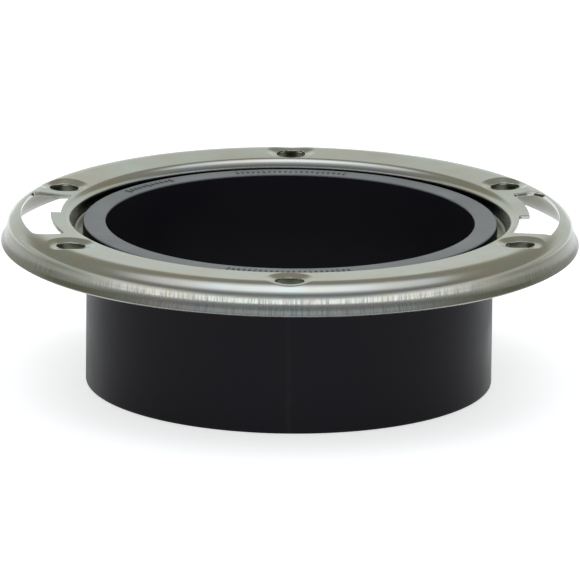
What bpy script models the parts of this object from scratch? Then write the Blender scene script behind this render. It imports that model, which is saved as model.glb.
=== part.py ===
"""Closet flange: a moulded hub that slips over a 4 in drain pipe, and a loose
stamped steel ring that turns on it under the hub's collar.

Metres, +Z up. The origin is the centre of the hub's foot, so the flange
stands on z = 0 with the pipe's axis on Z. The ring's bolt slots lie on X.
"""
import math

import bpy
import bmesh

MM = 0.001

# The pipe and the hub's barrel
BORE_R = 57.4 * MM            # socket for a pipe of 114.3 mm outside diameter
BARREL_WALL = 5.9 * MM
HUB_HEIGHT = 51.2 * MM        # foot to the collar's top
FOOT_CHAMFER = 1.5 * MM       # lead-in at the mouth of the socket
FOOT_EDGE = 0.6 * MM          # broken outer edge of the foot
TOP_EDGE = 0.5 * MM           # broken edges of the collar's top

# The collar that holds the ring down
COLLAR_THICKNESS = 3.4 * MM
COLLAR_OVERLAP = 2.9 * MM     # how far the collar reaches over the ring's ledge
COLLAR_DRAFT = 0.2 * MM       # the collar narrows towards its top
COLLAR_CHAMFER = 0.8 * MM     # under its rim, clear of the bend round the ledge

# The two side notches in the collar's rim
NOTCH_OVERLAP = 0.8 * MM      # what is left of the collar over the ledge
NOTCH_MIDDLE = math.radians(182.2)
NOTCH_HALF = math.radians(26.2)
NOTCH_CORNER = 0.6 * MM
NOTCH_REACH = 2.0 * MM        # how far the cutters run past the rim

# The snap lugs that hold the ring up
LUG_COUNT = 4
LUG_PROUD = 1.4 * MM
LUG_WIDTH = 9.0 * MM
LUG_HEIGHT = 4.0 * MM
LUG_RAMP = 2.6 * MM           # sloped lower part that the ring rides over
LUG_ANGLE = math.radians(45)
LUG_ROOT = 1.5 * MM           # how far a lug is sunk into the barrel

# The steel ring
SHEET = 1.2 * MM
TURNING_GAP = 0.5 * MM        # between the barrel and the ring's hole
SEAT_GAP = 0.3 * MM           # above and below the ring's ledge
LEDGE_WIDTH = 3.6 * MM
LEDGE_DEPTH = 5.9 * MM        # the ledge lies this far below the ring's top
WALL_LEAN = 0.8 * MM          # the inner wall leans out this much on its way up
PLATE_WIDTH = 19.7 * MM       # top of the inner wall to the skirt
BRIM_WIDTH = 2.1 * MM
BRIM_DEPTH = 8.7 * MM         # the brim's upper face lies this far below the top

# Setbacks of the ring's bends: along the first leg and along the second one
LEDGE_BEND = (0.9 * MM, 0.9 * MM)
INNER_BEND = (1.3 * MM, 1.3 * MM)
SHOULDER_BEND = (5.9 * MM, 3.9 * MM)
BRIM_BEND = (2.6 * MM, 1.4 * MM)

# Screw holes, each at the bottom of a dimple
SCREW_INSET = 9.9 * MM        # from the skirt to the holes' centres
SCREW_ANGLES = (30.2, 90.0, 155.6, 210.2, 270.0, 335.6)
SCREW_HOLE_R = 4.5 * MM
DIMPLE_R = 6.9 * MM
DIMPLE_FLOOR_R = 4.9 * MM
DIMPLE_DEPTH = 1.1 * MM
DIMPLE_LIP = (0.9 * MM, 0.7 * MM)

# Bolt slots: a wide end that takes the bolt's head and a narrow run behind it
SLOT_RIM = 4.1 * MM           # from the skirt to a slot's outer edge
SLOT_WIDE = 12.5 * MM
SLOT_NARROW = 9.3 * MM
SLOT_START = math.radians(163.9)
SLOT_STEP = math.radians(180.5)
SLOT_END = math.radians(201.1)
SLOT_CORNER = 0.8 * MM
SLOT_END_CORNER = 3.0 * MM

# Facets
AROUND = 72
DIMPLE_AROUND = 16
BEND_STEPS = 3
ARC_STEPS = 8
CORNER_STEPS = 3

# Worked out
BARREL_R = BORE_R + BARREL_WALL
RING_HOLE_R = BARREL_R + TURNING_GAP
LEDGE_R = RING_HOLE_R + LEDGE_WIDTH
SKIRT_R = LEDGE_R + WALL_LEAN + PLATE_WIDTH
BRIM_R = SKIRT_R + BRIM_WIDTH
SCREW_PITCH_R = SKIRT_R - SCREW_INSET
SLOT_OUTER_R = SKIRT_R - SLOT_RIM
COLLAR_R = RING_HOLE_R + COLLAR_OVERLAP
NOTCH_R = RING_HOLE_R + NOTCH_OVERLAP
COLLAR_UNDER_Z = HUB_HEIGHT - COLLAR_THICKNESS
LEDGE_Z = COLLAR_UNDER_Z - SEAT_GAP
RING_TOP_Z = LEDGE_Z + LEDGE_DEPTH
LUG_TOP_Z = LEDGE_Z - SHEET - SEAT_GAP


def clear_scene():
    for obj in list(bpy.data.objects):
        bpy.data.objects.remove(obj, do_unlink=True)


def new_collection(name):
    collection = bpy.data.collections.new(name)
    bpy.context.scene.collection.children.link(collection)
    return collection


def material(name, color, roughness, metallic):
    mat = bpy.data.materials.new(name)
    mat.use_nodes = True
    shader = mat.node_tree.nodes["Principled BSDF"]
    shader.inputs["Base Color"].default_value = (*color, 1.0)
    shader.inputs["Roughness"].default_value = roughness
    shader.inputs["Metallic"].default_value = metallic
    return mat


def add_object(name, mesh, collection):
    obj = bpy.data.objects.new(name, mesh)
    collection.objects.link(obj)
    return obj


def bend(before, corner, after, setbacks, steps=BEND_STEPS):
    """Points of a curve that rounds a corner, from the first leg to the second."""
    start = toward(corner, before, setbacks[0])
    end = toward(corner, after, setbacks[1])
    points = []
    for i in range(steps + 1):
        t = i / steps
        weights = ((1 - t) ** 2, 2 * t * (1 - t), t * t)
        points.append(tuple(
            weights[0] * a + weights[1] * b + weights[2] * c
            for a, b, c in zip(start, corner, end)))
    return points


def toward(origin, target, distance):
    length = math.dist(origin, target)
    return tuple(a + (b - a) * distance / length for a, b in zip(origin, target))


def polar(radius, angle):
    return (radius * math.cos(angle), radius * math.sin(angle))


def arc(radius, start, end, steps=ARC_STEPS):
    """Points strictly between two angles on a circle about the ring's axis."""
    return [polar(radius, start + (end - start) * i / steps) for i in range(1, steps)]


def rounded_outline(corners):
    """A closed outline from its corners, each with its setbacks and the wall after it."""
    path = []
    for corner, setbacks, wall in corners:
        path.append((corner, setbacks))
        path.extend((point, None) for point in wall)
    points = []
    for i, (point, setbacks) in enumerate(path):
        before, after = path[i - 1][0], path[(i + 1) % len(path)][0]
        points.extend(bend(before, point, after, setbacks, CORNER_STEPS) if setbacks else [point])
    return points


def profile_object(name, points, closed, collection, around=AROUND):
    """A profile of (radius, z) points in the XZ plane, turned about Z by a Screw."""
    bm = bmesh.new()
    verts = [bm.verts.new((r, 0.0, z)) for r, z in points]
    for first, second in zip(verts, verts[1:]):
        bm.edges.new((first, second))
    if closed:
        bm.edges.new((verts[-1], verts[0]))
    mesh = bpy.data.meshes.new(name)
    bm.to_mesh(mesh)
    bm.free()
    obj = add_object(name, mesh, collection)
    screw = obj.modifiers.new("Turn", "SCREW")
    screw.axis = "Z"
    screw.steps = around
    screw.render_steps = around
    screw.use_merge_vertices = True
    screw.merge_threshold = 0.00001
    screw.use_smooth_shade = True
    return obj


def boolean(obj, operation, cutters):
    """Joins or cuts an object with every object of a collection."""
    modifier = obj.modifiers.new(cutters.name, "BOOLEAN")
    modifier.operation = operation
    modifier.operand_type = "COLLECTION"
    modifier.collection = cutters
    modifier.solver = "EXACT"


def hide_cutters(collection):
    for obj in collection.all_objects:
        obj.hide_render = True
        obj.display_type = "WIRE"


def outline_mesh(name, outline, thickness):
    """A flat outline made solid, centred on z = 0."""
    curve = bpy.data.curves.new(name, "CURVE")
    curve.dimensions = "2D"
    curve.fill_mode = "BOTH"
    curve.extrude = thickness / 2
    spline = curve.splines.new("POLY")
    spline.points.add(len(outline) - 1)
    for point, (x, y) in zip(spline.points, outline):
        point.co = (x, y, 0.0, 1.0)
    spline.use_cyclic_u = True
    source = bpy.data.objects.new(name, curve)
    bpy.context.scene.collection.objects.link(source)
    evaluated = source.evaluated_get(bpy.context.evaluated_depsgraph_get())
    mesh = bpy.data.meshes.new_from_object(evaluated)
    bpy.data.objects.remove(source, do_unlink=True)
    bm = bmesh.new()
    bm.from_mesh(mesh)
    bmesh.ops.remove_doubles(bm, verts=bm.verts, dist=0.00001)
    bmesh.ops.recalc_face_normals(bm, faces=bm.faces)
    bm.to_mesh(mesh)
    bm.free()
    return mesh


def place_pair(name, outline, thickness, z, collection):
    """Two cutters of one outline, half a turn apart."""
    mesh = outline_mesh(name, outline, thickness)
    for i in range(2):
        cutter = add_object(f"{name}_{i + 1}", mesh, collection)
        cutter.location.z = z
        cutter.rotation_euler.z = i * math.pi


def hub_profile():
    """Closed section of the hub: down its outside, in along the foot, up the bore."""
    return [
        (COLLAR_R - COLLAR_DRAFT - TOP_EDGE, HUB_HEIGHT),
        (COLLAR_R - COLLAR_DRAFT, HUB_HEIGHT - TOP_EDGE),
        (COLLAR_R, COLLAR_UNDER_Z + COLLAR_CHAMFER),
        (COLLAR_R - COLLAR_CHAMFER, COLLAR_UNDER_Z),
        (BARREL_R, COLLAR_UNDER_Z),
        (BARREL_R, FOOT_EDGE),
        (BARREL_R - FOOT_EDGE, 0.0),
        (BORE_R + FOOT_CHAMFER, 0.0),
        (BORE_R, FOOT_CHAMFER),
        (BORE_R, HUB_HEIGHT - TOP_EDGE),
        (BORE_R + TOP_EDGE, HUB_HEIGHT),
    ]


def lug_mesh():
    """A wedge with a flat top and a sloped lower face, standing on the barrel at +X."""
    bm = bmesh.new()
    bmesh.ops.create_cube(bm, size=1.0)
    depth = LUG_ROOT + LUG_PROUD
    bmesh.ops.scale(bm, vec=(depth, LUG_WIDTH, LUG_HEIGHT), verts=bm.verts)
    for vert in bm.verts:
        if vert.co.z < 0:
            vert.co.z += LUG_RAMP if vert.co.x > 0 else -LUG_RAMP * LUG_ROOT / LUG_PROUD
    middle = (BARREL_R - LUG_ROOT + depth / 2, 0.0, LUG_TOP_Z - LUG_HEIGHT / 2)
    bmesh.ops.translate(bm, vec=middle, verts=bm.verts)
    mesh = bpy.data.meshes.new("lug")
    bm.to_mesh(mesh)
    bm.free()
    return mesh


def notch_outline():
    """Outline of a notch in the collar's rim, about the ring's axis."""
    start, end = NOTCH_MIDDLE - NOTCH_HALF, NOTCH_MIDDLE + NOTCH_HALF
    outer_r = COLLAR_R + NOTCH_REACH
    corner = (NOTCH_CORNER, NOTCH_CORNER)
    return rounded_outline([
        (polar(NOTCH_R, end), corner, arc(NOTCH_R, end, start)),
        (polar(NOTCH_R, start), corner, []),
        (polar(outer_r, start), None, arc(outer_r, start, end)),
        (polar(outer_r, end), None, []),
    ])


def make_hub(collection, lugs, notches, finish):
    hub = profile_object("hub", hub_profile(), True, collection)
    mesh = lug_mesh()
    for i in range(LUG_COUNT):
        lug = add_object(f"lug_{i + 1}", mesh, lugs)
        lug.rotation_euler.z = LUG_ANGLE + i * math.tau / LUG_COUNT
    place_pair("notch", notch_outline(), 2 * COLLAR_THICKNESS, HUB_HEIGHT, notches)
    boolean(hub, "UNION", lugs)
    boolean(hub, "DIFFERENCE", notches)
    hub.data.materials.append(finish)
    return hub


def ring_profile():
    """Upper face of the sheet, from the ring's hole out to the brim's edge."""
    brim_z = RING_TOP_Z - BRIM_DEPTH
    hole = (RING_HOLE_R, LEDGE_Z)
    ledge = (LEDGE_R, LEDGE_Z)
    inner = (LEDGE_R + WALL_LEAN, RING_TOP_Z)
    shoulder = (SKIRT_R, RING_TOP_Z)
    foot = (SKIRT_R, brim_z)
    brim = (BRIM_R, brim_z)
    return [
        hole,
        *bend(hole, ledge, inner, LEDGE_BEND),
        *bend(ledge, inner, shoulder, INNER_BEND),
        *bend(inner, shoulder, foot, SHOULDER_BEND),
        *bend(shoulder, foot, brim, BRIM_BEND),
        brim,
    ]


def dimple_face():
    """Upper face of a dimple, from its lip down to its floor: (radius, depth)."""
    plate = (DIMPLE_R + DIMPLE_DEPTH, 0.0)
    lip = (DIMPLE_R, 0.0)
    floor = (DIMPLE_FLOOR_R, -DIMPLE_DEPTH)
    return [*bend(plate, lip, floor, DIMPLE_LIP, CORNER_STEPS), floor]


def dimple_cutter_profile():
    """The space in and above a dimple, with its screw hole, as a closed turned form."""
    face = dimple_face()
    above = SHEET
    below = -DIMPLE_DEPTH - 2 * SHEET
    return [
        (0.0, above),
        (face[0][0], above),
        *face,
        (SCREW_HOLE_R, -DIMPLE_DEPTH),
        (SCREW_HOLE_R, below),
        (0.0, below),
    ]


def dimple_boss_profile():
    """The metal under a dimple, as a closed turned form that starts inside the sheet."""
    slope = math.atan2(DIMPLE_DEPTH, DIMPLE_R - DIMPLE_FLOOR_R)
    offset_r = SHEET / math.sin(slope)
    top = -SHEET / 2
    bottom = -DIMPLE_DEPTH - SHEET
    wall_r = DIMPLE_R + offset_r
    return [
        (0.0, top),
        (wall_r + top / math.tan(slope), top),
        (wall_r + bottom / math.tan(slope), bottom),
        (0.0, bottom),
    ]


def place_dimples(name, profile, collection):
    for i, angle in enumerate(SCREW_ANGLES):
        turn = math.radians(angle)
        piece = profile_object(f"{name}_{i + 1}", profile, False, collection, DIMPLE_AROUND)
        piece.location = (
            SCREW_PITCH_R * math.cos(turn), SCREW_PITCH_R * math.sin(turn), RING_TOP_Z)
        piece.rotation_euler.z = turn


def slot_outline():
    """Outline of a bolt slot: out along the outer wall, back along the stepped inner one."""
    wide_r = SLOT_OUTER_R - SLOT_WIDE
    narrow_r = SLOT_OUTER_R - SLOT_NARROW
    sharp = (SLOT_CORNER, SLOT_CORNER)
    round_out = (SLOT_END_CORNER, SLOT_END_CORNER)
    round_in = (SLOT_END_CORNER / 2, SLOT_END_CORNER / 2)
    return rounded_outline([
        (polar(wide_r, SLOT_START), sharp, []),
        (polar(SLOT_OUTER_R, SLOT_START), sharp, arc(SLOT_OUTER_R, SLOT_START, SLOT_END)),
        (polar(SLOT_OUTER_R, SLOT_END), round_out, []),
        (polar(narrow_r, SLOT_END), round_in, arc(narrow_r, SLOT_END, SLOT_STEP)),
        (polar(narrow_r, SLOT_STEP), sharp, []),
        (polar(wide_r, SLOT_STEP), sharp, arc(wide_r, SLOT_STEP, SLOT_START)),
    ])


def make_ring(collection, bosses, cutters, finish):
    ring = profile_object("swivel_ring", ring_profile(), False, collection)
    sheet = ring.modifiers.new("Sheet", "SOLIDIFY")
    sheet.thickness = SHEET
    sheet.offset = -1.0
    sheet.use_even_offset = True
    place_dimples("boss", dimple_boss_profile(), bosses)
    place_dimples("dish", dimple_cutter_profile(), cutters)
    place_pair("slot", slot_outline(), 6 * SHEET, RING_TOP_Z, cutters)
    boolean(ring, "UNION", bosses)
    boolean(ring, "DIFFERENCE", cutters)
    ring.data.materials.append(finish)
    return ring


def main():
    clear_scene()
    parts = new_collection("toilet_flange")
    lugs = new_collection("cutters_hub_lugs")
    notches = new_collection("cutters_hub_notches")
    bosses = new_collection("cutters_ring_bosses")
    cutters = new_collection("cutters_ring_holes")
    abs_black = material("abs_black", (0.012, 0.012, 0.014), 0.32, 0.0)
    stainless = material("stainless_steel", (0.58, 0.59, 0.56), 0.28, 1.0)
    hub = make_hub(parts, lugs, notches, abs_black)
    ring = make_ring(parts, bosses, cutters, stainless)
    ring.parent = hub
    for collection in (lugs, notches, bosses, cutters):
        hide_cutters(collection)


main()
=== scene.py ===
import bpy
import bmesh
from math import cos, degrees, radians, sin, tau
from mathutils import Matrix, Vector


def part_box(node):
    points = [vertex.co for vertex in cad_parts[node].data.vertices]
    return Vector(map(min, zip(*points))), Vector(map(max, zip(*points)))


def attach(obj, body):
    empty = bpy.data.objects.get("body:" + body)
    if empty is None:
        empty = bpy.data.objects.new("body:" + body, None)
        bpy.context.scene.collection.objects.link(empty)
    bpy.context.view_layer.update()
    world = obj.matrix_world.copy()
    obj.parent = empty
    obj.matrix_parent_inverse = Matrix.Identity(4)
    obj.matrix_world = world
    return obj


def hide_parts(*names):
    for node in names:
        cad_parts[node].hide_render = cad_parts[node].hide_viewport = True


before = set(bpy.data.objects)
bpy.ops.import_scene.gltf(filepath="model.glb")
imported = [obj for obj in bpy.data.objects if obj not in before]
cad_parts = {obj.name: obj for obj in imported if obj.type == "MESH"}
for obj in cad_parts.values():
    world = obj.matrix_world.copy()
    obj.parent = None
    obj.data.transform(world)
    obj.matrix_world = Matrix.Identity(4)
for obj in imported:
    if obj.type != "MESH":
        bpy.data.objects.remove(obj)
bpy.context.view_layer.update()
mm = 0.001
sectorStep = 1.5        # degrees between the faces of a curved cutter
noiseShift = (0.3719, 0.2371, 0.1933)

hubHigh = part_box("hub")[1]
ringLow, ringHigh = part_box("swivel_ring")


# Mesh tools that both pieces use

def addPiece(name, bm, finish, smoothAngle=32):
    mesh = bpy.data.meshes.new(name)
    bm.to_mesh(mesh)
    bm.free()
    mesh.materials.append(finish)
    mesh.shade_smooth()
    mesh.set_sharp_from_angle(angle=radians(smoothAngle))
    piece = bpy.data.objects.new(name, mesh)
    bpy.context.scene.collection.objects.link(piece)
    return piece


def wireFromCorners(bm, corners, closed=False):
    # corners are (radius, height, bend, squash): the bend is how far the rounding reaches along
    # each leg, and a squash below 1 pulls it up into a flatter curve
    verts = [bm.verts.new((corner[0], 0, corner[1])) for corner in corners]
    for first, second in zip(verts, verts[1:]):
        bm.edges.new((first, second))
    if closed:
        bm.edges.new((verts[-1], verts[0]))
    for vert, (radius, height, bend, *squash) in zip(verts, corners):
        if not bend:
            continue
        bmesh.ops.bevel(bm, geom=[vert], offset=bend, segments=bendSegments(bend),
                        profile=0.5, affect="VERTICES", material=-1)
        if squash:
            corner = Vector((radius, 0, height))
            near = [v for v in bm.verts if (v.co - corner).length < 1.001 * bend]
            bmesh.ops.scale(bm, vec=(1, 1, squash[0]), verts=near, space=Matrix.Translation(-corner))


def bendSegments(bend):
    return 3 if bend < 0.7 * mm else 8 if bend < 3 * mm else 18


def splitLongEdges(bm, longest):
    for edge in bm.edges[:]:
        cuts = int(edge.calc_length() / longest)
        if cuts:
            bmesh.ops.subdivide_edges(bm, edges=[edge], cuts=cuts)


def turnAroundAxis(bm, steps):
    bmesh.ops.spin(bm, geom=bm.verts[:] + bm.edges[:], cent=(0, 0, 0), axis=(0, 0, 1),
                   angle=tau, steps=steps, use_merge=True)
    bmesh.ops.remove_doubles(bm, verts=bm.verts, dist=0.002 * mm)
    bmesh.ops.recalc_face_normals(bm, faces=bm.faces)


def addSector(bm, inner, outer, start, end, low, high, corners=(0, 0, 0, 0)):
    # a block between two radii and two angles; corners round its upright edges, inner start first
    new = bmesh.new()
    verts = [new.verts.new((r, 0, z)) for r, z in
             [(inner, low), (outer, low), (outer, high), (inner, high)]]
    face = new.faces.new(verts)
    bmesh.ops.rotate(new, verts=verts, cent=(0, 0, 0), matrix=Matrix.Rotation(radians(start), 3, "Z"))
    steps = max(4, int(abs(end - start) / sectorStep))
    bmesh.ops.spin(new, geom=new.verts[:] + new.edges[:] + [face], cent=(0, 0, 0), axis=(0, 0, 1),
                   angle=radians(end - start), steps=steps)
    bmesh.ops.recalc_face_normals(new, faces=new.faces)
    places = [(inner, start), (outer, start), (inner, end), (outer, end)]
    for (radius, angle), rounding in zip(places, corners):
        spot = Vector((radius * cos(radians(angle)), radius * sin(radians(angle)), 0))
        edge = [e for e in new.edges if all((v.co.xy - spot.xy).length < 0.01 * mm for v in e.verts)]
        if rounding:
            bmesh.ops.bevel(new, geom=edge, offset=rounding, segments=6, profile=0.5,
                            affect="EDGES", material=-1)
    joinInto(bm, new)


def joinInto(bm, other):
    mesh = bpy.data.meshes.new("part")
    other.to_mesh(mesh)
    other.free()
    bm.from_mesh(mesh)
    bpy.data.meshes.remove(mesh)


def cutBlocks(piece, bm):
    mesh = bpy.data.meshes.new("cutter")
    bm.to_mesh(mesh)
    bm.free()
    cutter = bpy.data.objects.new("cutter", mesh)
    bpy.context.scene.collection.objects.link(cutter)
    cut = piece.modifiers.new("cut", "BOOLEAN")
    cut.object = cutter
    cut.operation = "DIFFERENCE"
    cut.solver = "EXACT"
    cut.use_self = True
    applyModifiers(piece)
    bpy.data.objects.remove(cutter)
    bpy.data.meshes.remove(mesh)


def applyModifiers(piece):
    shown = piece.evaluated_get(bpy.context.evaluated_depsgraph_get())
    mesh = bpy.data.meshes.new_from_object(shown)
    old = piece.data
    piece.modifiers.clear()
    piece.data = mesh
    mesh.name = old.name
    bpy.data.meshes.remove(old)


def isSheared(edge, angle=55):
    return len(edge.link_faces) == 2 and edge.calc_face_angle(0) > radians(angle)


def easeEdges(piece, width, wanted):
    # takes the sharpness off the edges that wanted() picks
    bm = bmesh.new()
    bm.from_mesh(piece.data)
    bmesh.ops.remove_doubles(bm, verts=bm.verts, dist=0.03 * mm)
    bmesh.ops.dissolve_degenerate(bm, edges=bm.edges, dist=0.005 * mm)
    edges = [e for e in bm.edges if isSheared(e) and wanted(e)]
    bmesh.ops.bevel(bm, geom=edges, offset=width, segments=2, profile=0.5,
                    affect="EDGES", material=-1, clamp_overlap=False)
    bm.to_mesh(piece.data)
    bm.free()
    piece.data.shade_smooth()
    piece.data.set_sharp_from_angle(angle=radians(38))


def weightNormals(piece):
    weighted = piece.modifiers.new("normals", "WEIGHTED_NORMAL")
    weighted.keep_sharp = True
    weighted.weight = 60


# Node tools

def addNode(tree, kind, **settings):
    node = tree.nodes.new(kind)
    for key, value in settings.items():
        setattr(node, key, value)
    return node


def link(tree, source, target):
    tree.links.new(source, target)


def shifted(tree, vector):
    # moves a pattern off the axes, where the cells of every octave of a noise line up
    node = addNode(tree, "ShaderNodeVectorMath", operation="ADD")
    node.inputs[1].default_value = noiseShift
    link(tree, vector, node.inputs[0])
    return node.outputs[0]


def noiseNode(tree, vector, scale, detail=3, roughness=0.5):
    noise = addNode(tree, "ShaderNodeTexNoise")
    noise.inputs["Scale"].default_value = scale
    noise.inputs["Detail"].default_value = detail
    noise.inputs["Roughness"].default_value = roughness
    link(tree, shifted(tree, vector), noise.inputs["Vector"])
    return noise.outputs["Fac"]


def mapRange(tree, value, fromLow, fromHigh, toLow=0.0, toHigh=1.0, kind="LINEAR"):
    node = addNode(tree, "ShaderNodeMapRange", interpolation_type=kind)
    link(tree, value, node.inputs["Value"])
    for name, amount in zip(("From Min", "From Max", "To Min", "To Max"),
                            (fromLow, fromHigh, toLow, toHigh)):
        node.inputs[name].default_value = amount
    return node.outputs["Result"]


def maths(tree, operation, first, second):
    node = addNode(tree, "ShaderNodeMath", operation=operation)
    for socket, value in zip(node.inputs, (first, second)):
        if isinstance(value, (int, float)):
            socket.default_value = value
        else:
            link(tree, value, socket)
    return node.outputs[0]


def mixColors(tree, factor, first, second):
    node = addNode(tree, "ShaderNodeMix", data_type="RGBA", blend_type="MIX")
    sockets = (node.inputs[0], node.inputs[6], node.inputs[7])
    for socket, value in zip(sockets, (factor, first, second)):
        if isinstance(value, (int, float)):
            socket.default_value = value
        elif isinstance(value, tuple):
            socket.default_value = (*value, 1)
        else:
            link(tree, value, socket)
    return node.outputs[2]


def newGroup(name, inputs, outputs):
    group = bpy.data.node_groups.new(name, "ShaderNodeTree")
    for label, kind, value in inputs:
        socket = group.interface.new_socket(label, in_out="INPUT", socket_type=kind)
        if value is not None:
            socket.default_value = value
    for label, kind in outputs:
        group.interface.new_socket(label, in_out="OUTPUT", socket_type=kind)
    return group, addNode(group, "NodeGroupInput"), addNode(group, "NodeGroupOutput")


def placeGroup(tree, group, **values):
    node = addNode(tree, "ShaderNodeGroup", node_tree=group)
    for name, value in values.items():
        socket = node.inputs[name[0].upper() + name[1:]]
        if isinstance(value, (int, float)):
            socket.default_value = value
        else:
            link(tree, value, socket)
    return node


# Fine grain that the finishes share: a height for bumps and a slow cloudy mask
def makeGrainGroup():
    group, given, out = newGroup(
        "surfaceGrain",
        [("Vector", "NodeSocketVector", None), ("Fine", "NodeSocketFloat", 1500.0),
         ("Cloud", "NodeSocketFloat", 60.0)],
        [("Height", "NodeSocketFloat"), ("Clouds", "NodeSocketFloat")])
    place = shifted(group, given.outputs["Vector"])
    for scale, output, detail in (("Fine", "Height", 3), ("Cloud", "Clouds", 2)):
        noise = addNode(group, "ShaderNodeTexNoise")
        noise.inputs["Detail"].default_value = detail
        link(group, place, noise.inputs["Vector"])
        link(group, given.outputs[scale], noise.inputs["Scale"])
        link(group, noise.outputs["Fac"], out.inputs[output])
    return group


# Rubbed edges and sheen: a patchy mask on the crests of the shape; it lightens the steel's crests as
# rubbed wear, and the plastic's as partly wear, partly painted sheen
def makeRubbedAndSheenGroup():
    group, given, out = newGroup(
        "rubbedAndSheenEdges",
        [("Vector", "NodeSocketVector", None), ("Start", "NodeSocketFloat", 0.52),
         ("Full", "NodeSocketFloat", 0.6), ("Patches", "NodeSocketFloat", 250.0)],
        [("Mask", "NodeSocketFloat")])
    crest = addNode(group, "ShaderNodeNewGeometry").outputs["Pointiness"]
    ramp = addNode(group, "ShaderNodeMapRange", interpolation_type="SMOOTHSTEP")
    link(group, crest, ramp.inputs["Value"])
    link(group, given.outputs["Start"], ramp.inputs["From Min"])
    link(group, given.outputs["Full"], ramp.inputs["From Max"])
    patches = addNode(group, "ShaderNodeTexNoise")
    link(group, given.outputs["Vector"], patches.inputs["Vector"])
    link(group, given.outputs["Patches"], patches.inputs["Scale"])
    uneven = mapRange(group, patches.outputs["Fac"], 0.3, 0.6, 0.35, 1.0)
    mask = maths(group, "MULTIPLY", ramp.outputs["Result"], uneven)
    link(group, mask, out.inputs["Mask"])
    return group


# Draw marks: fine lines down the pressed sheet, at every angle round the axis, fading out at
# the top and bottom heights
def makeDrawMarkGroup():
    group, given, out = newGroup(
        "drawMarks",
        [("Vector", "NodeSocketVector", None), ("Lines", "NodeSocketFloat", 90.0),
         ("Slip", "NodeSocketFloat", 160.0), ("Top", "NodeSocketFloat", 0.05),
         ("Full Top", "NodeSocketFloat", 0.049), ("Full Bottom", "NodeSocketFloat", 0.046),
         ("Bottom", "NodeSocketFloat", 0.045)],
        [("Lines", "NodeSocketFloat"), ("Band", "NodeSocketFloat")])
    parts = addNode(group, "ShaderNodeSeparateXYZ")
    link(group, given.outputs["Vector"], parts.inputs[0])
    flat = addNode(group, "ShaderNodeCombineXYZ")
    link(group, parts.outputs["X"], flat.inputs["X"])
    link(group, parts.outputs["Y"], flat.inputs["Y"])
    around = addNode(group, "ShaderNodeVectorMath", operation="NORMALIZE")
    link(group, flat.outputs[0], around.inputs[0])
    wide = addNode(group, "ShaderNodeVectorMath", operation="SCALE")
    link(group, around.outputs[0], wide.inputs[0])
    link(group, given.outputs["Lines"], wide.inputs["Scale"])
    slip = maths(group, "MULTIPLY", parts.outputs["Z"], given.outputs["Slip"])
    down = addNode(group, "ShaderNodeCombineXYZ")
    link(group, slip, down.inputs["Z"])
    joined = addNode(group, "ShaderNodeVectorMath", operation="ADD")
    link(group, wide.outputs[0], joined.inputs[0])
    link(group, down.outputs[0], joined.inputs[1])
    lines = noiseNode(group, joined.outputs[0], 1.0, detail=4, roughness=0.65)
    fades = []
    for high, low in (("Top", "Full Top"), ("Bottom", "Full Bottom")):
        fade = addNode(group, "ShaderNodeMapRange", interpolation_type="SMOOTHSTEP")
        link(group, parts.outputs["Z"], fade.inputs["Value"])
        link(group, given.outputs[high], fade.inputs["From Min"])
        link(group, given.outputs[low], fade.inputs["From Max"])
        fades.append(fade.outputs["Result"])
    band = maths(group, "MULTIPLY", *fades)
    link(group, lines, out.inputs["Lines"])
    link(group, band, out.inputs["Band"])
    return group


def startMaterial(name):
    material = bpy.data.materials.new(name)
    material.use_nodes = True
    tree = material.node_tree
    place = addNode(tree, "ShaderNodeTexCoord").outputs["Object"]
    return material, tree, tree.nodes["Principled BSDF"], place


def bumpFrom(tree, shader, height, strength, distance):
    bump = addNode(tree, "ShaderNodeBump")
    bump.inputs["Strength"].default_value = strength
    bump.inputs["Distance"].default_value = distance
    link(tree, height, bump.inputs["Height"])
    link(tree, bump.outputs["Normal"], shader.inputs["Normal"])


# Pressed stainless sheet

steelFinish = {
    "pale": (0.48, 0.52, 0.475),
    "tan": (0.49, 0.47, 0.40),
    "pink": (0.52, 0.475, 0.46),
    "drawn": (0.24, 0.245, 0.22),
    # the next three colours are painted shade: skirt below the slots, wall and ledge inside the ring
    "skirtPaintedShade": (0.15, 0.145, 0.11),
    "innerWallPaintedShade": (0.035, 0.04, 0.04),
    "innerLedgePaintedShade": (0.19, 0.19, 0.12),
    "rubbed": (0.64, 0.65, 0.63),
    # how much of each colour shows
    "speckShare": 0.7,
    "skirtShadeShare": 0.92,
    "drawnShare": 0.65,
    "rubbedShare": 0.4,
    "roughness": 0.17,
    "roughSpread": (-0.02, 0.04),
    "drawnRoughness": 0.1,
    "cloudScale": 60.0,
    "cloudSpan": (0.38, 0.66),
    "speckScale": 420.0,
    "speckSpan": (0.48, 0.68),
    "grainScale": 1500.0,
    "grainShare": 0.14,
    "rubbedStart": 0.53,
    "rubbedFull": 0.62,
    "lineCount": 170.0,
    "lineSlip": 150.0,
    "lineSpan": (0.44, 0.6),
    "lineDepth": 0.05 * mm,
    "bumpStrength": 0.55,
    # heights between which the draw marks fade in and out
    "marksTop": ringHigh.z - 3.2 * mm,
    "marksFull": ringHigh.z - 4.8 * mm,
    "marksEnd": ringHigh.z - 8.2 * mm,
    "marksGone": ringHigh.z - 9.4 * mm,
    # where the painted shade begins and ends: radii, heights, and distance to the side
    "innerSpan": (69.6 * mm, 69.0 * mm),
    "deepSpan": (ringHigh.z - 1.7 * mm, ringHigh.z - 3.0 * mm),
    "wallSpan": (ringHigh.z - 5.7 * mm, ringHigh.z - 4.6 * mm),
    "sideSpan": (38 * mm, 74 * mm),
    "skirtSpan": (ringHigh.z - 2.2 * mm, ringHigh.z - 3.6 * mm),
    "outerSpan": (86.0 * mm, 87.0 * mm),
}


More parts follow.
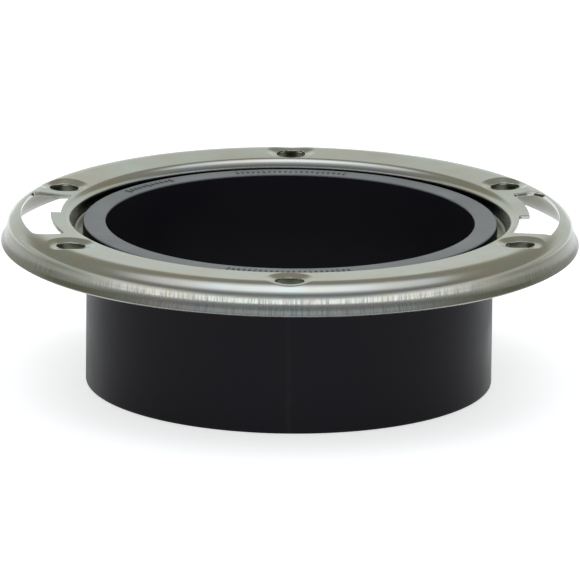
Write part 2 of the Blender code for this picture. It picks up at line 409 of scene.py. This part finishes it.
def paintedShadeAreas(tree, place):
    # painted shade: darker tones on the wall and ledge inside the ring, and on the skirt below the
    # two slots; being painted into the colour, they turn with the ring
    s = steelFinish
    parts = addNode(tree, "ShaderNodeSeparateXYZ")
    link(tree, place, parts.inputs[0])
    x, y, z = parts.outputs
    across = maths(tree, "ADD", maths(tree, "MULTIPLY", x, x), maths(tree, "MULTIPLY", y, y))
    radius = maths(tree, "SQRT", across, 0)
    inside = mapRange(tree, radius, *s["innerSpan"])
    deep = mapRange(tree, z, *s["deepSpan"])
    onWall = mapRange(tree, z, *s["wallSpan"])
    side = mapRange(tree, maths(tree, "ABSOLUTE", x, 0), *s["sideSpan"])
    onSkirt = mapRange(tree, z, *s["skirtSpan"])
    outside = mapRange(tree, radius, *s["outerSpan"])
    skirtPaintedShade = maths(tree, "MULTIPLY", maths(tree, "MULTIPLY", side, onSkirt), outside)
    innerShadeColor = mixColors(tree, onWall, s["innerLedgePaintedShade"], s["innerWallPaintedShade"])
    return maths(tree, "MULTIPLY", inside, deep), innerShadeColor, skirtPaintedShade


def makeSteel():
    s = steelFinish
    material, tree, shader, place = startMaterial("pressedSteel")
    grain = placeGroup(tree, grainGroup, vector=place, fine=s["grainScale"], cloud=s["cloudScale"])
    rubbed = placeGroup(tree, rubbedAndSheenGroup, vector=place, start=s["rubbedStart"], full=s["rubbedFull"])
    marks = placeGroup(tree, drawMarkGroup, vector=place, lines=s["lineCount"], slip=s["lineSlip"])
    for name, key in (("Top", "marksTop"), ("Full Top", "marksFull"),
                      ("Full Bottom", "marksEnd"), ("Bottom", "marksGone")):
        marks.inputs[name].default_value = s[key]
    clouds = mapRange(tree, grain.outputs["Clouds"], *s["cloudSpan"])
    color = mixColors(tree, clouds, s["pale"], s["tan"])
    specks = mapRange(tree, noiseNode(tree, place, s["speckScale"]), *s["speckSpan"], 0.0, s["speckShare"])
    color = mixColors(tree, specks, color, s["pink"])
    # painted shade inside the ring and on the skirt below the slots
    inner, innerShadeColor, skirtPaintedShade = paintedShadeAreas(tree, place)
    color = mixColors(tree, inner, color, innerShadeColor)
    color = mixColors(tree, maths(tree, "MULTIPLY", skirtPaintedShade, s["skirtShadeShare"]), color, s["skirtPaintedShade"])
    drawn = mapRange(tree, marks.outputs["Lines"], *s["lineSpan"])
    drawnMask = maths(tree, "MULTIPLY", drawn, marks.outputs["Band"])
    color = mixColors(tree, maths(tree, "MULTIPLY", drawnMask, s["drawnShare"]), color, s["drawn"])
    crests = maths(tree, "MULTIPLY", rubbed.outputs["Mask"], s["rubbedShare"])
    color = mixColors(tree, crests, color, s["rubbed"])
    link(tree, color, shader.inputs["Base Color"])
    smoothest, roughest = [s["roughness"] + spread for spread in s["roughSpread"]]
    rough = mapRange(tree, grain.outputs["Clouds"], 0.3, 0.7, smoothest, roughest)
    rough = maths(tree, "ADD", rough, maths(tree, "MULTIPLY", drawnMask, s["drawnRoughness"]))
    link(tree, rough, shader.inputs["Roughness"])
    shader.inputs["Metallic"].default_value = 1.0
    fine = maths(tree, "MULTIPLY", grain.outputs["Height"], s["grainShare"])
    lines = maths(tree, "MULTIPLY", marks.outputs["Lines"], marks.outputs["Band"])
    bumpFrom(tree, shader, maths(tree, "ADD", fine, lines), s["bumpStrength"], s["lineDepth"])
    return material


# Moulded black plastic

plasticFinish = {
    "base": (0.0085, 0.008, 0.0108),
    # face: the collar's top face is given a paler colour as a painted sheen
    "face": (0.15, 0.16, 0.172),
    "wornSheen": (0.02, 0.02, 0.022),
    "wornSheenShare": 0.5,
    "wornSheenStart": 0.53,
    "wornSheenFull": 0.64,
    "roughness": 0.34,
    "roughSpread": (-0.05, 0.07),
    "specular": 0.07,
    "faceSpecular": 0.85,
    "faceSpan": (hubHigh.z - 0.5 * mm, hubHigh.z - 0.05 * mm),
    "grainScale": 1100.0,
    "cloudScale": 45.0,
    "grainDepth": 0.02 * mm,
    "bumpStrength": 0.3,
}


def makePlastic():
    # the collar's top face is glossier than the rest, and its paler colour is a painted sheen
    s = plasticFinish
    material, tree, shader, place = startMaterial("mouldedPlastic")
    grain = placeGroup(tree, grainGroup, vector=place, fine=s["grainScale"], cloud=s["cloudScale"])
    rubbed = placeGroup(tree, rubbedAndSheenGroup, vector=place, start=s["wornSheenStart"], full=s["wornSheenFull"])
    parts = addNode(tree, "ShaderNodeSeparateXYZ")
    link(tree, place, parts.inputs[0])
    onTop = mapRange(tree, parts.outputs["Z"], *s["faceSpan"])
    # painted sheen: the top face takes the paler colour
    color = mixColors(tree, onTop, s["base"], s["face"])
    # lighter plastic crests: partly rubbed wear, partly painted sheen
    wornSheen = maths(tree, "MULTIPLY", rubbed.outputs["Mask"], s["wornSheenShare"])
    color = mixColors(tree, wornSheen, color, s["wornSheen"])
    link(tree, color, shader.inputs["Base Color"])
    smoothest, roughest = [s["roughness"] + spread for spread in s["roughSpread"]]
    rough = mapRange(tree, grain.outputs["Clouds"], 0.3, 0.7, smoothest, roughest)
    link(tree, rough, shader.inputs["Roughness"])
    gloss = mapRange(tree, onTop, 0.0, 1.0, s["specular"], s["faceSpecular"])
    shader.inputs["Specular IOR Level"].default_value = s["specular"]
    link(tree, gloss, shader.inputs["Specular IOR Level"])
    bumpFrom(tree, shader, grain.outputs["Height"], s["bumpStrength"], s["grainDepth"])
    return material


# Painted shade: dark steel colour for the necks below the screw holes, standing in for the shade down each
# hole

neckShadeFinish = {
    "dark": (0.075, 0.085, 0.05),
    "light": (0.15, 0.155, 0.12),
    "roughness": 0.4,
    "grainScale": 1300.0,
    "cloudScale": 90.0,
    "grainDepth": 0.02 * mm,
    "bumpStrength": 0.3,
}


def makeNeckShadeSteel():
    s = neckShadeFinish
    material, tree, shader, place = startMaterial("neckPaintedShadeSteel")
    grain = placeGroup(tree, grainGroup, vector=place, fine=s["grainScale"], cloud=s["cloudScale"])
    color = mixColors(tree, grain.outputs["Clouds"], s["dark"], s["light"])
    link(tree, color, shader.inputs["Base Color"])
    shader.inputs["Metallic"].default_value = 1.0
    shader.inputs["Roughness"].default_value = s["roughness"]
    bumpFrom(tree, shader, grain.outputs["Height"], s["bumpStrength"], s["grainDepth"])
    return material


grainGroup = makeGrainGroup()
rubbedAndSheenGroup = makeRubbedAndSheenGroup()
drawMarkGroup = makeDrawMarkGroup()
steel = makeSteel()
neckShadeSteel = makeNeckShadeSteel()
plastic = makePlastic()
print("finishes ready")


# The hub: barrel, collar and snap lugs in one moulding

hub = {
    "bore": 57.4 * mm,
    "barrel": 63.3 * mm,
    "collarThick": 3.4 * mm,
    "collarTaper": 0.2 * mm,
    "topEdge": 0.45 * mm,
    "undersideEdge": 0.8 * mm,
    "undersideBend": 0.2 * mm,
    "collarFillet": 0.25 * mm,
    "footLead": 1.5 * mm,
    "footEdge": 0.6 * mm,
    "leadBend": 0.3 * mm,
    "steps": 240,
    "notchRadius": 64.6 * mm,
    "notchMiddle": 182.2,
    "notchHalf": 26.2,
    "notchRound": 0.8 * mm,
    "notchEdge": 0.3 * mm,
    "lugTurn": 45,
    "lugRoot": 1.5 * mm,
    "lugEdge": 0.35 * mm,
    "lugWidth": 9 * mm,
    "lugHeight": 4 * mm,
    "lugRamp": 2.6 * mm,
    "lugProud": 1.4 * mm,
    "lugTopZ": 46.0 * mm,
    "tickRadius": 61.2 * mm,
    "tickHigh": 0.25 * mm,
    "tickWide": 0.6 * mm,
    "longTick": 2.6 * mm,
    "shortTick": 1.5 * mm,
    # each run of ticks: first angle, last angle, step
    "tickRuns": ((74.0, 106.0, 1.6), (128.0, 146.0, 1.8), (252.0, 288.0, 1.6)),
}


def makeHub():
    s = hub
    top = hubHigh.z
    rim = hubHigh.x
    under = top - s["collarThick"]
    bm = bmesh.new()
    wireFromCorners(bm, [
        (rim - s["collarTaper"], top, s["topEdge"]),
        (rim, under + s["undersideEdge"], s["undersideBend"]),
        (rim - s["undersideEdge"], under, s["undersideBend"]),
        (s["barrel"], under, s["collarFillet"]),
        (s["barrel"], 0, s["footEdge"]),
        (s["bore"] + s["footLead"], 0, s["leadBend"]),
        (s["bore"], s["footLead"], s["leadBend"]),
        (s["bore"], top, s["topEdge"]),
    ], closed=True)
    turnAroundAxis(bm, s["steps"])
    piece = addPiece("hubMoulding", bm, plastic)
    cutBlocks(piece, notchBlocks())
    clear = s["barrel"] + 0.5 * mm      # the barrel's own edges are left alone
    easeEdges(piece, s["notchEdge"], lambda e: min(v.co.xy.length for v in e.verts) > clear)
    weightNormals(piece)
    return piece


def notchBlocks():
    s = hub
    blocks = bmesh.new()
    for turn in (0, 180):
        middle = s["notchMiddle"] + turn
        addSector(blocks, s["notchRadius"], hubHigh.x + 3 * mm,
                  middle - s["notchHalf"], middle + s["notchHalf"],
                  hubHigh.z - s["collarThick"] - 0.01 * mm, hubHigh.z + 2 * mm,
                  [s["notchRound"], 0, s["notchRound"], 0])
    return blocks


def makeLugs():
    s = hub
    bm = bmesh.new()
    for turn in range(4):
        lug = bmesh.new()
        made = bmesh.ops.create_cube(lug, size=1)
        depth = s["lugRoot"] + s["lugProud"]
        bmesh.ops.scale(lug, vec=(depth, s["lugWidth"], s["lugHeight"]), verts=made["verts"])
        for vert in lug.verts:
            if vert.co.z < 0 < vert.co.x:
                vert.co.z += s["lugRamp"]
        bmesh.ops.bevel(lug, geom=lug.edges[:], offset=s["lugEdge"], segments=3, profile=0.5,
                        affect="EDGES", material=-1)
        middle = Vector((s["barrel"] - s["lugRoot"] + depth / 2, 0, s["lugTopZ"] - s["lugHeight"] / 2))
        bmesh.ops.translate(lug, vec=middle, verts=lug.verts)
        bmesh.ops.rotate(lug, verts=lug.verts, cent=(0, 0, 0),
                         matrix=Matrix.Rotation(radians(s["lugTurn"] + 90 * turn), 3, "Z"))
        joinInto(bm, lug)
    return addPiece("snapLugs", bm, plastic)


def makeTicks():
    # raised graduation marks on the collar's face, every fifth one longer
    s = hub
    bm = bmesh.new()
    for first, last, step in s["tickRuns"]:
        for i in range(int((last - first) / step) + 1):
            length = s["longTick"] if i % 5 == 0 else s["shortTick"]
            turn = Matrix.Rotation(radians(first + i * step), 4, "Z")
            place = turn @ Matrix.Translation((s["tickRadius"], 0, hubHigh.z)) @ Matrix.Diagonal(
                (length, s["tickWide"], 2 * s["tickHigh"], 1))
            bmesh.ops.create_cube(bm, size=1, matrix=place)
    return addPiece("collarTicks", bm, plastic)


hubMoulding = makeHub()
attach(hubMoulding, "hub")
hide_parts("hub")
snapLugs = makeLugs()
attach(snapLugs, "hub")
collarTicks = makeTicks()
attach(collarTicks, "hub")
print("hub ready")


# The swivel ring: one pressed sheet with dished screw holes and two stepped bolt slots

ring = {
    "sheet": 1.2 * mm,
    "hole": 63.8 * mm,
    "ledge": 67.4 * mm,
    "ledgeDepth": 5.9 * mm,
    "ledgeBend": 1.0 * mm,
    "wallTop": 68.3 * mm,
    "wallBend": 2.2 * mm,
    "innerDip": 0.2 * mm,
    "outerRise": 0.45 * mm,
    "shoulder": 87.25 * mm,
    "shoulderReach": 6.0 * mm,
    "shoulderSquash": 0.55,
    "skirtFoot": 87.35 * mm,
    "skirtDepth": 6.3 * mm,
    "skirtBend": 1.4 * mm,
    "skirtLean": 1.0 * mm,
    "leanStart": 1.3 * mm,
    "leanReach": 3 * mm,
    "brimDepth": 8.7 * mm,
    "cutEdge": 0.14 * mm,
    "steps": 360,
    "spacing": 0.8 * mm,
    "screwPitch": 78.0 * mm,
    "screwAngles": (30.2, 90.0, 155.6, 210.2, 270.0, 335.6),
    "screwHole": 4.5 * mm,
    "holeCutter": 6 * mm,
    "neckDepth": 3.0 * mm,
    "neckWall": 0.7 * mm,
    "neckEdge": 0.2 * mm,
    "neckTuck": 0.35 * mm,
    "neckLap": 0.02 * mm,
    "dishRim": 7.5 * mm,
    "dishFloor": 4.5 * mm,
    "dishDepth": 0.85 * mm,
    # round a hole the mesh is split once within each reach, where its edges exceed the spacing
    "dishReaches": (9.5 * mm, 8.2 * mm),
    "dishSpacing": 0.4 * mm,
    "slotOuter": 83.8 * mm,
    "slotWide": 12.5 * mm,
    "slotNarrow": 9.3 * mm,
    "slotStart": 163.9,
    "slotStep": 180.5,
    "slotEnd": 201.1,
    "slotOuterRound": 4.2 * mm,
    "slotInnerRound": 1.8 * mm,
    "slotWideRound": 0.6 * mm,
    "slotOverlap": 5,
    "cutterSpare": 2 * mm,
    "cutterStep": 0.2 * mm,
}


def ringSheet():
    s = ring
    top = ringHigh.z
    bm = bmesh.new()
    wireFromCorners(bm, [
        (s["hole"], top - s["ledgeDepth"], 0),
        (s["ledge"], top - s["ledgeDepth"], s["ledgeBend"]),
        (s["wallTop"], top - s["innerDip"], s["wallBend"]),
        (s["shoulder"], top + s["outerRise"], s["shoulderReach"], s["shoulderSquash"]),
        (s["skirtFoot"], top - s["skirtDepth"], s["skirtBend"]),
        (ringHigh.x - s["skirtLean"], top - s["brimDepth"], 0),
    ])
    splitLongEdges(bm, s["spacing"])
    # the skirt leans out below the shoulder, steeper and steeper towards its foot
    leanFrom = top - s["leanStart"]
    for vert in bm.verts:
        if vert.co.x > s["shoulder"] - s["leanReach"] and vert.co.z < leanFrom:
            share = min(1, (leanFrom - vert.co.z) / (s["skirtDepth"] - s["leanStart"]))
            vert.co.x += s["skirtLean"] * (1 - (1 - share) ** 2)
    turnAroundAxis(bm, s["steps"])
    return bm


def smoothStep(value):
    value = min(1, max(0, value))
    return value * value * (3 - 2 * value)


def pressDishes(bm):
    s = ring
    for angle in s["screwAngles"]:
        turn = radians(angle)
        middle = Vector((s["screwPitch"] * cos(turn), s["screwPitch"] * sin(turn)))
        for reach in s["dishReaches"]:
            near = [e for e in bm.edges if all((v.co.xy - middle).length < reach for v in e.verts)
                    and e.calc_length() > s["dishSpacing"]]
            bmesh.ops.subdivide_edges(bm, edges=near, cuts=1, use_grid_fill=True)
        for vert in bm.verts:
            away = (vert.co.xy - middle).length
            if away < s["dishRim"]:
                share = min(1, (s["dishRim"] - away) / (s["dishRim"] - s["dishFloor"]))
                # mostly a straight cone, with a little rounding at both ends
                vert.co.z -= s["dishDepth"] * (3 * share + smoothStep(share)) / 4


def addPost(blocks, radius, angle, size, low, high):
    turn = radians(angle)
    place = Matrix.Translation((radius * cos(turn), radius * sin(turn), (low + high) / 2))
    bmesh.ops.create_cone(blocks, cap_ends=True, segments=64, radius1=size, radius2=size,
                          depth=high - low, matrix=place)


def slotBlocks():
    # each slot: a wide run, then a narrow run whose far corners are rounded by two posts
    s = ring
    outer = s["slotOuter"]
    inner = outer - s["slotNarrow"]
    wide = outer - s["slotWide"]
    big, small = s["slotOuterRound"], s["slotInnerRound"]
    bigSpot, smallSpot = outer - big, inner + small
    edge = s["slotWideRound"]
    blocks = bmesh.new()

    def heights(step):
        # each block is a step taller than the one before, so that no two ends share a plane
        spare = s["cutterSpare"] + step * s["cutterStep"]
        return ringLow.z - spare, ringHigh.z + spare

    for turn in (0, 180):
        begin, end = s["slotStart"] + turn, s["slotEnd"] + turn
        bigEnd, smallEnd = end - degrees(big / bigSpot), end - degrees(small / smallSpot)
        start = begin + s["slotOverlap"]
        addSector(blocks, wide, outer, begin, s["slotStep"] + turn, *heights(0), [edge, edge, edge, 0])
        addSector(blocks, inner, outer, start, bigEnd, *heights(1))
        addSector(blocks, inner, bigSpot, start + 2, smallEnd, *heights(2))
        addSector(blocks, smallSpot, bigSpot, start + 4, end, *heights(3))
        addPost(blocks, bigSpot, bigEnd, big, *heights(4))
        addPost(blocks, smallSpot, smallEnd, small, *heights(5))
    return blocks


def holeBlocks():
    s = ring
    low, high = ringHigh.z - s["holeCutter"], ringHigh.z + s["holeCutter"]
    blocks = bmesh.new()
    for angle in s["screwAngles"]:
        addPost(blocks, s["screwPitch"], angle, s["screwHole"], low, high)
    return blocks


def makeRing():
    s = ring
    bm = ringSheet()
    pressDishes(bm)
    up = [f for f in bm.faces if abs(f.calc_center_median().z - ringHigh.z) < 0.05 * mm]
    if up and sum(f.normal.z for f in up) < 0:
        bmesh.ops.reverse_faces(bm, faces=bm.faces)
    piece = addPiece("ringStamping", bm, steel)
    sheet = piece.modifiers.new("sheet", "SOLIDIFY")
    sheet.thickness = s["sheet"]
    sheet.offset = -1
    sheet.use_even_offset = True
    applyModifiers(piece)
    cutBlocks(piece, slotBlocks())
    cutBlocks(piece, holeBlocks())
    easeEdges(piece, s["cutEdge"], lambda e: True)
    weightNormals(piece)
    return piece


def makeNecks():
    # a short neck turned down round each screw hole, coloured dark as painted shade; its top ends inside
    # the sheet
    s = ring
    bm = bmesh.new()
    low = ringHigh.z - s["neckDepth"]
    high = ringHigh.z - s["dishDepth"] - s["neckTuck"]
    inner = s["screwHole"] - s["neckLap"]
    outer = s["screwHole"] + s["neckWall"]
    for angle in s["screwAngles"]:
        neck = bmesh.new()
        wireFromCorners(neck, [
            (inner, high, 0), (inner, low, s["neckEdge"]), (outer, low, s["neckEdge"]), (outer, high, 0),
        ], closed=True)
        turnAroundAxis(neck, 64)
        turn = radians(angle)
        spot = Vector((s["screwPitch"] * cos(turn), s["screwPitch"] * sin(turn), 0))
        bmesh.ops.translate(neck, vec=spot, verts=neck.verts)
        joinInto(bm, neck)
    return addPiece("screwNecks", bm, neckShadeSteel)


ringStamping = makeRing()
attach(ringStamping, "ring")
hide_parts("swivel_ring")
screwNecks = makeNecks()
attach(screwNecks, "ring")
print("ring ready:", len(ringStamping.data.polygons), "faces")


# Floor, light and camera

studio = {
    "floorHalf": 6.0,
    "floorColor": (0.93, 0.93, 0.93),
    "floorGlow": 0.6,
    "floorDrop": 0.03 * mm,
    "strength": 4.0,
    # brightness seen towards each height above the floor, as the sine of that angle
    "behind": ((0.0, (0.75, 0.78, 0.75)), (0.33, (0.74, 0.78, 0.74)), (0.43, (0.34, 0.33, 0.27)),
               (0.77, (0.34, 0.34, 0.29)), (0.89, (1.0, 1.06, 1.16)), (1.0, (1.6, 1.68, 1.8))),
    "inFront": ((0.0, (1.9, 1.97, 2.05)), (0.08, (1.9, 1.97, 2.05)), (0.22, (0.24, 0.25, 0.27)),
                (0.60, (0.28, 0.29, 0.31)), (0.77, (0.42, 0.46, 0.51)), (0.88, (0.62, 0.67, 0.74)),
                (0.95, (0.95, 1.0, 1.1)), (1.0, (1.6, 1.68, 1.8))),
    "below": (0.8, 0.8, 0.8),
    # the light behind gives way to the light in front between these two y parts of a direction
    "turnSpan": (0.25, -0.55),
    "horizonSpan": (0.0, -0.02),
}

view = {
    "elevation": 15.05,
    "roll": 0.59,
    "distance": 3.69,
    "lens": 735,
    "sensor": 36,
    "farthest": 100,
    "aim": Vector((0.17, 0, 28.86)) * mm,
}


def heightRamp(tree, height, stops):
    # a ramp's colours stop at 1, so they are divided by the strength of the background
    ramp = addNode(tree, "ShaderNodeValToRGB")
    ramp.color_ramp.interpolation = "EASE"
    elements = ramp.color_ramp.elements
    while len(elements) > 1:
        elements.remove(elements[0])
    for i, (position, color) in enumerate(stops):
        element = elements[0] if i == 0 else elements.new(position)
        element.position = position
        element.color = (*[part / studio["strength"] for part in color], 1)
    link(tree, height, ramp.inputs[0])
    return ramp.outputs["Color"]


def makeWorld():
    s = studio
    world = bpy.data.worlds.new("studioLight")
    world.use_nodes = True
    tree = world.node_tree
    background = tree.nodes["Background"]
    toward = addNode(tree, "ShaderNodeTexCoord").outputs["Generated"]
    parts = addNode(tree, "ShaderNodeSeparateXYZ")
    link(tree, toward, parts.inputs[0])
    back = heightRamp(tree, parts.outputs["Z"], s["behind"])
    front = heightRamp(tree, parts.outputs["Z"], s["inFront"])
    side = mapRange(tree, parts.outputs["Y"], *s["turnSpan"], kind="SMOOTHSTEP")
    sky = mixColors(tree, side, back, front)
    isLow = mapRange(tree, parts.outputs["Z"], *s["horizonSpan"])
    below = tuple(part / s["strength"] for part in s["below"])
    link(tree, mixColors(tree, isLow, sky, below), background.inputs["Color"])
    background.inputs["Strength"].default_value = s["strength"]
    bpy.context.scene.world = world


def makeFloor():
    s = studio
    bm = bmesh.new()
    bmesh.ops.create_grid(bm, x_segments=1, y_segments=1, size=s["floorHalf"],
                          matrix=Matrix.Translation((0, 0, -s["floorDrop"])))
    finish, tree, shader, place = startMaterial("paleFloor")
    shader.inputs["Base Color"].default_value = (*s["floorColor"], 1)
    shader.inputs["Roughness"].default_value = 0.9
    shader.inputs["Specular IOR Level"].default_value = 0.0
    shader.inputs["Emission Color"].default_value = (1, 1, 1, 1)
    shader.inputs["Emission Strength"].default_value = s["floorGlow"]
    # seen from below the floor is clear, so the underside can be looked at
    clear = addNode(tree, "ShaderNodeBsdfTransparent")
    either = addNode(tree, "ShaderNodeMixShader")
    link(tree, addNode(tree, "ShaderNodeNewGeometry").outputs["Backfacing"], either.inputs[0])
    link(tree, shader.outputs[0], either.inputs[1])
    link(tree, clear.outputs[0], either.inputs[2])
    link(tree, either.outputs[0], tree.nodes["Material Output"].inputs["Surface"])
    floor = addPiece("floor", bm, finish)


def makeCamera():
    camera = bpy.data.objects.new("camera", bpy.data.cameras.new("camera"))
    bpy.context.scene.collection.objects.link(camera)
    tilt = Matrix.Rotation(radians(90 - view["elevation"]), 4, "X")
    turn = tilt @ Matrix.Rotation(radians(view["roll"]), 4, "Z")
    back = turn @ Vector((0, 0, view["distance"]))
    camera.matrix_world = Matrix.Translation(view["aim"] + back) @ turn
    camera.data.lens = view["lens"]
    camera.data.sensor_width = view["sensor"]
    camera.data.clip_end = view["farthest"]
    bpy.context.scene.camera = camera


makeWorld()
makeFloor()
makeCamera()
bpy.context.scene.view_settings.view_transform = "Standard"
print("studio ready")
